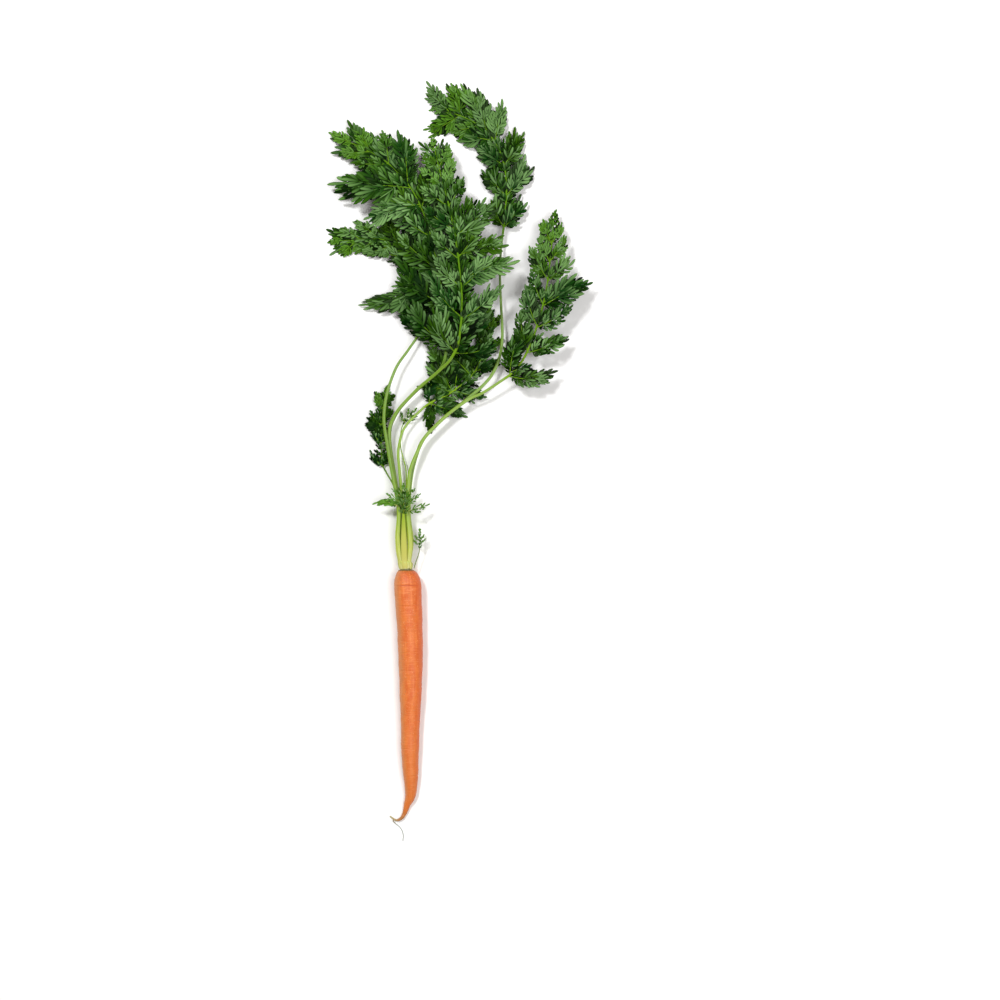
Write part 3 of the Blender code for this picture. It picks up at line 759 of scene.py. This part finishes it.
def lobes_of(length, draw, slim, fullness):
    """The lobes of one small blade, as (start, angle, length, half width): pairs along its rib and one at
    its end."""
    half = slim * (0.5 + 0.033 * length)
    pairs = max(1, round(fullness * length / half))
    lobes = [(0.0, 0.0, 0.7 * length, 0.4 * half)]
    for i in range(pairs):
        share = (i + 0.5) / pairs
        for side in (1, -1):
            lobes.append((length * (0.1 + 0.52 * i / pairs + draw.uniform(-0.02, 0.02)),
                          side * math.radians(44 - 12 * share + draw.uniform(-5, 5)),
                          length * (0.55 - 0.2 * share) * draw.uniform(0.85, 1.15),
                          half * draw.uniform(0.85, 1.1)))
    lobes.append((0.45 * length, math.radians(draw.uniform(-6, 6)), 0.55 * length, 1.1 * half))
    return lobes


def spun(a, b, angle):
    """The coordinates a and b, turned by an angle in their plane."""
    return a * math.cos(angle) - b * math.sin(angle), a * math.sin(angle) + b * math.cos(angle)


def add_blade(heap, leaflet, start, angle, side, length, lift, draw, age, shade=0.0, slim=1.0, curl=0.0,
              fullness=0.15):
    """Lays one small blade on a leaflet, at an angle from its rib. Its lobes bend forward and fold along
    their veins, and each has its own curl and tone."""
    lobes = lobes_of(length, draw, slim, fullness)
    blade_tone = leaflet.tone + draw.uniform(-0.25, 0.25)
    blade_hue = leaflet.hue + draw.uniform(-0.2, 0.2)
    own = np.array([(*lobe, draw.uniform(-0.09, 0.06) - curl, draw.uniform(0.0, 0.4),
                     blade_tone + draw.uniform(-0.35, 0.35), blade_hue, draw.uniform(-0.3, 0.3))
                    for lobe in lobes])
    first, turn, size, half, bend, crease, tone, hue, raised = own.T[:, :, None]
    share, aside, face = LOBE_POINTS.T
    width = half * np.interp(share, LOBE_SHARES, LOBE_WIDTHS)
    middle, heading = turn * (1 - 0.35 * share), turn * (1 - 0.7 * share)
    along = first + size * share * np.cos(middle) - aside * width * np.sin(heading)
    across = size * share * np.sin(middle) + aside * width * np.cos(heading)
    rise = raised + bend * size * share ** 2 + crease * np.abs(aside) * width + face * BLADE_THICKNESS / 2
    across, rise = spun(across, rise, side * draw.uniform(-0.25, 0.35))
    across = across - side * 0.12 * along ** 2 / length * (angle > 0)
    along, rise = spun(along, rise, draw.uniform(-0.05, 0.1))
    u = start + along * math.cos(angle) - side * across * math.sin(angle)
    v = side * along * math.sin(angle) + across * math.cos(angle)
    vertices = leaflet.surface(u.ravel(), v.ravel(), (rise + lift).ravel())
    lowest = LOWEST_BLADE + BLADE_THICKNESS / 2 * np.tile(face, len(lobes))
    vertices[:, 2] = np.maximum(vertices[:, 2], lowest)
    faces = [tuple(i + n * len(face) for i in corners) for n in range(len(lobes)) for corners in LOBE_FACES]
    # A lobe's middle gets 1 and its edges 0; painted shade goes on the edges.
    heap.add(vertices, faces, vein=np.tile((face != 0) * 1.0 + 0.4 * (share == 1), len(lobes)),
             tone=(tone + FOOT_SHADE_TONE * (share - 0.35)).ravel(), hue=np.broadcast_to(hue, u.shape).ravel(),
             age=(age + 0.35 * share * size / size.max() - shade).ravel(), shade=shade, blade=1.0)


# Layers of blades on a leaflet, the highest first: lift, shade, where they start and their size.
LAYERS = ((0.5, 0.0, 0.5, 1.0), (-0.6, 0.32, 0.1, 0.9), (-1.4, 0.5, 0.75, 0.7))


def add_leaflet(heap, leaflet, draw, age, spacing=7.0, slim=1.0, dark=0.0, curl=0.0, breadth=1.0,
                layers=LAYERS, rib_half=0.5, rib_blade=0.0, fullness=0.15):
    """A leaflet: its rib, the small blades in pairs along it and one at its end. Blades under them are
    darkened with painted shade."""
    length = leaflet.length
    leaflet.tone, leaflet.hue = draw.uniform(0.15, 0.85) - dark, draw.uniform(0.0, 1.0)
    u = np.linspace(0, 0.84 * length, 9)
    spine = Path(leaflet.surface(u, np.zeros(9), np.zeros(9)), 2)
    rib, rib_faces, measures = ribbed_tube(spine, np.linspace(0, spine.length, 10),
                                           np.linspace(rib_half, 0.2, 10), 0.9, 6, 3, 0.0)
    heap.add(rib, rib_faces, age=age, vein=1.0, tone=0.8, hue=0.8, blade=rib_blade)
    for lift, shade, first, full in layers:
        pairs = max(3, round(0.72 * length / spacing))
        for i in range(pairs):
            share = (i + first) / pairs
            bulge = math.sin(math.pi * (0.36 + 0.54 * min(share, 1.0)))
            reach = breadth * full * LEAFLET_HALF * length * bulge
            for side in (1, -1):
                angle = math.radians(42 - 16 * share + draw.uniform(-13, 13))
                size = reach / math.sin(angle) * draw.uniform(0.7, 1.15)
                start = length * (0.02 + 0.7 * share) + draw.uniform(-1.3, 1.3) - 0.02 * length * side
                add_blade(heap, leaflet, start, angle, side, size, lift + 0.3 * (i % 2), draw, age, shade,
                          slim, curl, fullness)
    add_blade(heap, leaflet, 0.62 * length, 0.0, 1, 0.38 * length, 0.6, draw, age, 0.0, slim, curl, fullness)


def blade_finish(name, stem):
    """Leaf green. Each blade has its own tone and hue, and young tips are paler. Painted shade darkens the
    lobes' edges and feet and the blades under others, and the palest tone is partly a painted sheen. Stem
    makes the colour of the ribs."""
    green = Finish(name, 0.45, Specular_IOR_Level=0.03)
    tone, age, vein, shade = (green.measure(label) for label in ("tone", "age", "vein", "shade"))
    place = green.node("TexCoord", {}, {}, "Object")
    mottle = green.noise(place, 260.0, 3.0)
    broad = green.noise(place, 26.0, 2.0)
    colour = green.mix(green.measure("hue").between(0.1, 0.9), tint(14, 62, 10), tint(54, 92, 3))
    # The palest tone is partly the blades' own paler green and partly a painted sheen.
    colour = green.mix(tone.between(0.4, 1.1), colour, tint(122, 162, 98))
    # The darkest tone is partly the blades' own darker green and partly painted shade.
    colour = green.mix(tone.between(0.5, 0.0) * 0.95, colour, tint(2, 22, 0))
    colour = green.mix(broad.between(0.35, 0.65) * 0.45, colour, tint(8, 46, 4))
    colour = green.mix(age.between(0.3, 1.3) * 0.75, colour, tint(98, 152, 34))
    colour = green.mix(mottle.between(0.5, 0.75) * 0.15, colour, tint(84, 124, 50))
    # Painted shade: a lobe is darkened towards its edges, as if shade lay in the gaps between lobes.
    colour = green.mix(vein.between(0.6, 0.0) * 0.65, colour, tint(6, 32, 1))
    # Painted shade on the blades that lie under others.
    colour = green.mix(shade * 2.4, colour, tint(2, 16, 0))
    colour = green.mix(green.measure("blade"), stem(green), colour)
    green.feed(Base_Color=colour, Roughness=0.4 + 0.2 * mottle, Normal=green.bump(mottle, 0.25, 0.0002))
    return green.material


def pair_marks(leaf, line):
    """Distances of the pairs of leaflets along the line. They stand closer together towards the end."""
    pairs = leaf["pairs"]
    gaps = [1.0 - 0.55 * i / pairs for i in range(pairs)]
    scale = (line.length - leaf["bare"]) / sum(gaps)
    return [leaf["bare"] + scale * sum(gaps[:i]) for i in range(pairs)]


EXTRA_SHARE = 0.4         # extra leaflets are as old as the pairs this far along


def leaflets_of(leaf, line, draw):
    """The leaflets of a leaf, as (leaflet, share of the way to its end)."""
    found = []
    marks = pair_marks(leaf, line)
    for i, mark in enumerate(marks):
        share = i / len(marks)
        heading = line.heading(mark)
        right = np.cross(heading, UP)
        right /= np.linalg.norm(right)
        up = np.cross(right, heading)
        first, last = leaf["spread"]
        for side in (1, -1):
            angle = math.radians(first + (last - first) * share + draw.uniform(-5, 5))
            roll = math.radians(leaf["roll"] * (1 - 0.4 * share) + draw.uniform(-4, 4))
            length = leaf["reach"] * (1 - leaf["narrowing"] * share ** 1.4) * draw.uniform(0.9, 1.08)
            place = mark + draw.uniform(-1.2, 1.2)
            foot = line.at(place) + right * side * half_width(leaf, line.length, place) * 0.5
            rib = heading * math.cos(angle) + right * side * math.sin(angle)
            leaflet = Leaflet(foot, rib, turned(up, rib, roll * side), length, 0.10 * side, leaf["droop"])
            found.append((leaflet, share))
    for place, towards, length, bow in leaf.get("extra", ()):
        rib = np.array([math.cos(math.radians(towards)), math.sin(math.radians(towards)), 0.0])
        found.append((Leaflet(line.at(place), rib, UP, length, bow, leaf["droop"]), EXTRA_SHARE))
    end_length = max(0.45 * leaf["reach"], 10 if leaf["split"] else 7)
    end = Leaflet(line.at(line.length - 1.5), line.heading(line.length), UP, end_length, 0.0, 0.06)
    return [*found, (end, 1.0)]


BLADE_LABELS = ("vein", "age", "tone", "hue", "shade", "blade")
RACHIS_SIDES = 20         # the rachis is the stalk's end, which carries the leaflets
RACHIS_RIBS = 5
GREENING = 80             # over this length it takes on its darkest green
DETAIL_SEED = 500         # added to a leaf's own seed for the draws of its small blades
frond_green = blade_finish("leaf_blade", lambda finish: finish.mix(
    finish.measure("tone"), tint(134, 170, 44), tint(88, 132, 18)))
for seed, (name, leaf) in enumerate(LEAVES.items()):
    if not leaf["split"]:
        continue
    line = Path(leaf["line"])
    frond = Heap(BLADE_LABELS)
    start = leaf["bare"] - SEAM
    distances = np.append(np.arange(start, line.length, 2.0), line.length)
    rachis, rachis_faces, measures = ribbed_tube(line, distances, half_width(leaf, line.length, distances),
                                                 0.86, RACHIS_SIDES, RACHIS_RIBS, GROOVE)
    green = max(leaf["green"], min(1.0, (leaf["bare"] - 150) / 110))
    frond.add(rachis, rachis_faces, age=0.3, vein=1.0,
              tone=np.minimum(1.0, green + (measures["along"] - start) / GREENING))
    detail_draw = random.Random(seed + DETAIL_SEED)
    for leaflet, share in leaflets_of(leaf, line, random.Random(seed)):
        add_leaflet(frond, leaflet, detail_draw, share * detail_draw.uniform(0.6, 1.0),
                    dark=leaf.get("dark", 0.0), curl=leaf.get("curl", 0.0), breadth=leaf.get("breadth", 1.0))
    marks = [*pair_marks(leaf, line), line.length]
    for mark, following in zip(marks, marks[1:]):
        for share in leaf["between"]:
            place = mark + (following - mark) * share
            stem = Leaflet(line.at(place), line.heading(place), UP, 12.0, 0.0, 0.0)
            grown = (place - leaf["bare"]) / (line.length - leaf["bare"])
            for side in (1, -1):
                add_blade(frond, stem, 0.0, math.radians(detail_draw.uniform(30, 56)), side,
                          0.46 * leaf["reach"] * detail_draw.uniform(0.7, 1.25), 0.2, detail_draw, 0.2)
                # Each pair's lower blade is darkened with painted shade, to fill the gaps between the
                # leaflets.
                under = 0.6 * leaf["reach"] * (1 - 0.8 * grown)
                add_blade(frond, stem, 0.0, math.radians(detail_draw.uniform(34, 70)), side,
                          max(under, 5.0) * detail_draw.uniform(0.8, 1.1), -1.6, detail_draw, 0.2, 0.42)
    frond.piece("frond_" + name + "_leaflets", frond_green, "leaf_blade", ["frond_" + name])


# --- The small leaves -----------------------------------------------------------------------------
# Three leaves have only begun to open: a pale one that lies on the stalks, a thin one among them, and a
# tiny one at the crown. Their leaflets are still narrow and a little curled.

def young_stem(finish):
    """The colour of a young leaf's stalk: paler than the others."""
    along = finish.measure("along")
    colour = stalk_colour(finish, 0.2, along, finish.measure("ridge"),
                          finish.noise(finish.vector(finish.measure("turn") * 6, along, 0.0), 1.0))
    return finish.mix(along.between(40, 8) * 0.6, colour, tint(198, 192, 104))


NEEDLES = dict(spacing=5.0, slim=0.7, breadth=0.8, layers=((0.3, 0.0, 0.5, 1.0),), rib_half=0.3,
               rib_blade=0.3, fullness=0.05)
CURLED = dict(spacing=2.4, slim=1.6, breadth=0.85, layers=((0.3, 0.0, 0.5, 1.0), (-0.4, 0.2, 0.1, 0.8)),
              rib_half=0.4)
CURLED_FOOT = np.array([-5.5, 48.0, 15.6])
CURLED_HEADING = np.array([-0.8, 0.6, 0.0])
CURLED_LENGTH = 16.0
CURLED_BOW = 0.62
TINY_STEM = tint(112, 128, 62)
for seed, (name, leaf) in enumerate(LEAVES.items()):
    if leaf["split"]:
        continue
    line, foot = grown_path(leaf)
    small = Heap((*BLADE_LABELS, *STALK_LABELS))
    tube, tube_faces, measures = stalk_tube(leaf, line, foot, line.length)
    small.add(tube, tube_faces, age=0.8, vein=1.0, **measures)
    detail_draw = random.Random(seed + DETAIL_SEED)
    for i, (leaflet, share) in enumerate(leaflets_of(leaf, Path(leaf["line"]), random.Random(seed))):
        curled = name == "young" and i == 1
        if curled:
            leaflet = Leaflet(CURLED_FOOT, CURLED_HEADING, UP, CURLED_LENGTH, CURLED_BOW, 0.1)
        add_leaflet(small, leaflet, detail_draw, 1.1 if curled else 0.8, dark=-0.2 if curled else -0.1,
                    **(CURLED if curled else NEEDLES))
    for place in np.linspace(leaf["bare"] - 3, line.length - foot - 2, 2 * leaf["pairs"]):
        tuft = Leaflet(line.at(place + foot) + 0.4 * UP, line.heading(place + foot), UP, 8.0, 0.0, 0.0)
        tuft.tone, tuft.hue = 0.45, 0.7
        for side in (1, -1):
            add_blade(small, tuft, 0.0, math.radians(detail_draw.uniform(12, 60)), side,
                      0.36 * leaf["reach"] * detail_draw.uniform(0.7, 1.3), 0.5, detail_draw, 0.3, slim=0.7,
                      fullness=0.05)
    stem = (lambda finish: TINY_STEM) if name == "tiny" else young_stem
    small.piece("leaf_" + name + "_leaflets", blade_finish("leaf_" + name, stem), "leaf_stalk",
                ["leaf_" + name])


# --- The surface, the light and the camera --------------------------------------------------------
# The carrot lies on a white table under two soft lights, and is seen from straight above.

floor_mesh = bpy.data.meshes.new("floor")
floor_mesh.from_pydata([(-3, -3, 0), (3, -3, 0), (3, 3, 0), (-3, 3, 0)], [], [(0, 1, 2, 3)])
floor = bpy.data.objects.new("floor", floor_mesh)
bpy.context.scene.collection.objects.link(floor)
white = Finish("white_table", 0.8)
white.feed(Base_Color=tint(250, 250, 250))
floor_mesh.materials.append(white.material)


def soft_light(name, place, size, power):
    """A square light that faces the middle of the view."""
    light = bpy.data.lights.new(name, "AREA")
    light.size = size
    light.energy = power
    lamp = bpy.data.objects.new(name, light)
    lamp.location = view_middle + Vector(place)
    lamp.rotation_euler = (view_middle - lamp.location).to_track_quat("-Z", "Y").to_euler()
    bpy.context.scene.collection.objects.link(lamp)


FRAME_WIDTH = 750.0        # what the view takes in, at the height of the root's axis
VIEW_HEIGHT = 10.0
view_middle = Vector(ORIGIN) + Vector((71.25, 52.5, VIEW_HEIGHT)) * MM
soft_light("upper_left", (-0.85, 1.1, 2.3), 0.42, 45.0)
soft_light("right", (0.85, -0.1, 2.4), 1.3, 38.0)

world = bpy.data.worlds.new("studio")
world.use_nodes = True
world.node_tree.nodes["Background"].inputs["Color"].default_value = (1.0, 0.92, 0.86, 1.0)
world.node_tree.nodes["Background"].inputs["Strength"].default_value = 0.2
bpy.context.scene.world = world
bpy.context.scene.view_settings.view_transform = "Standard"

camera = bpy.data.cameras.new("camera")
camera.lens = 70.0
camera.sensor_width = 36.0
camera.clip_start = 0.05
eye = bpy.data.objects.new("camera", camera)
eye.location = view_middle + Vector((0, 0, FRAME_WIDTH * MM * camera.lens / camera.sensor_width))
bpy.context.scene.collection.objects.link(eye)
bpy.context.scene.camera = eye
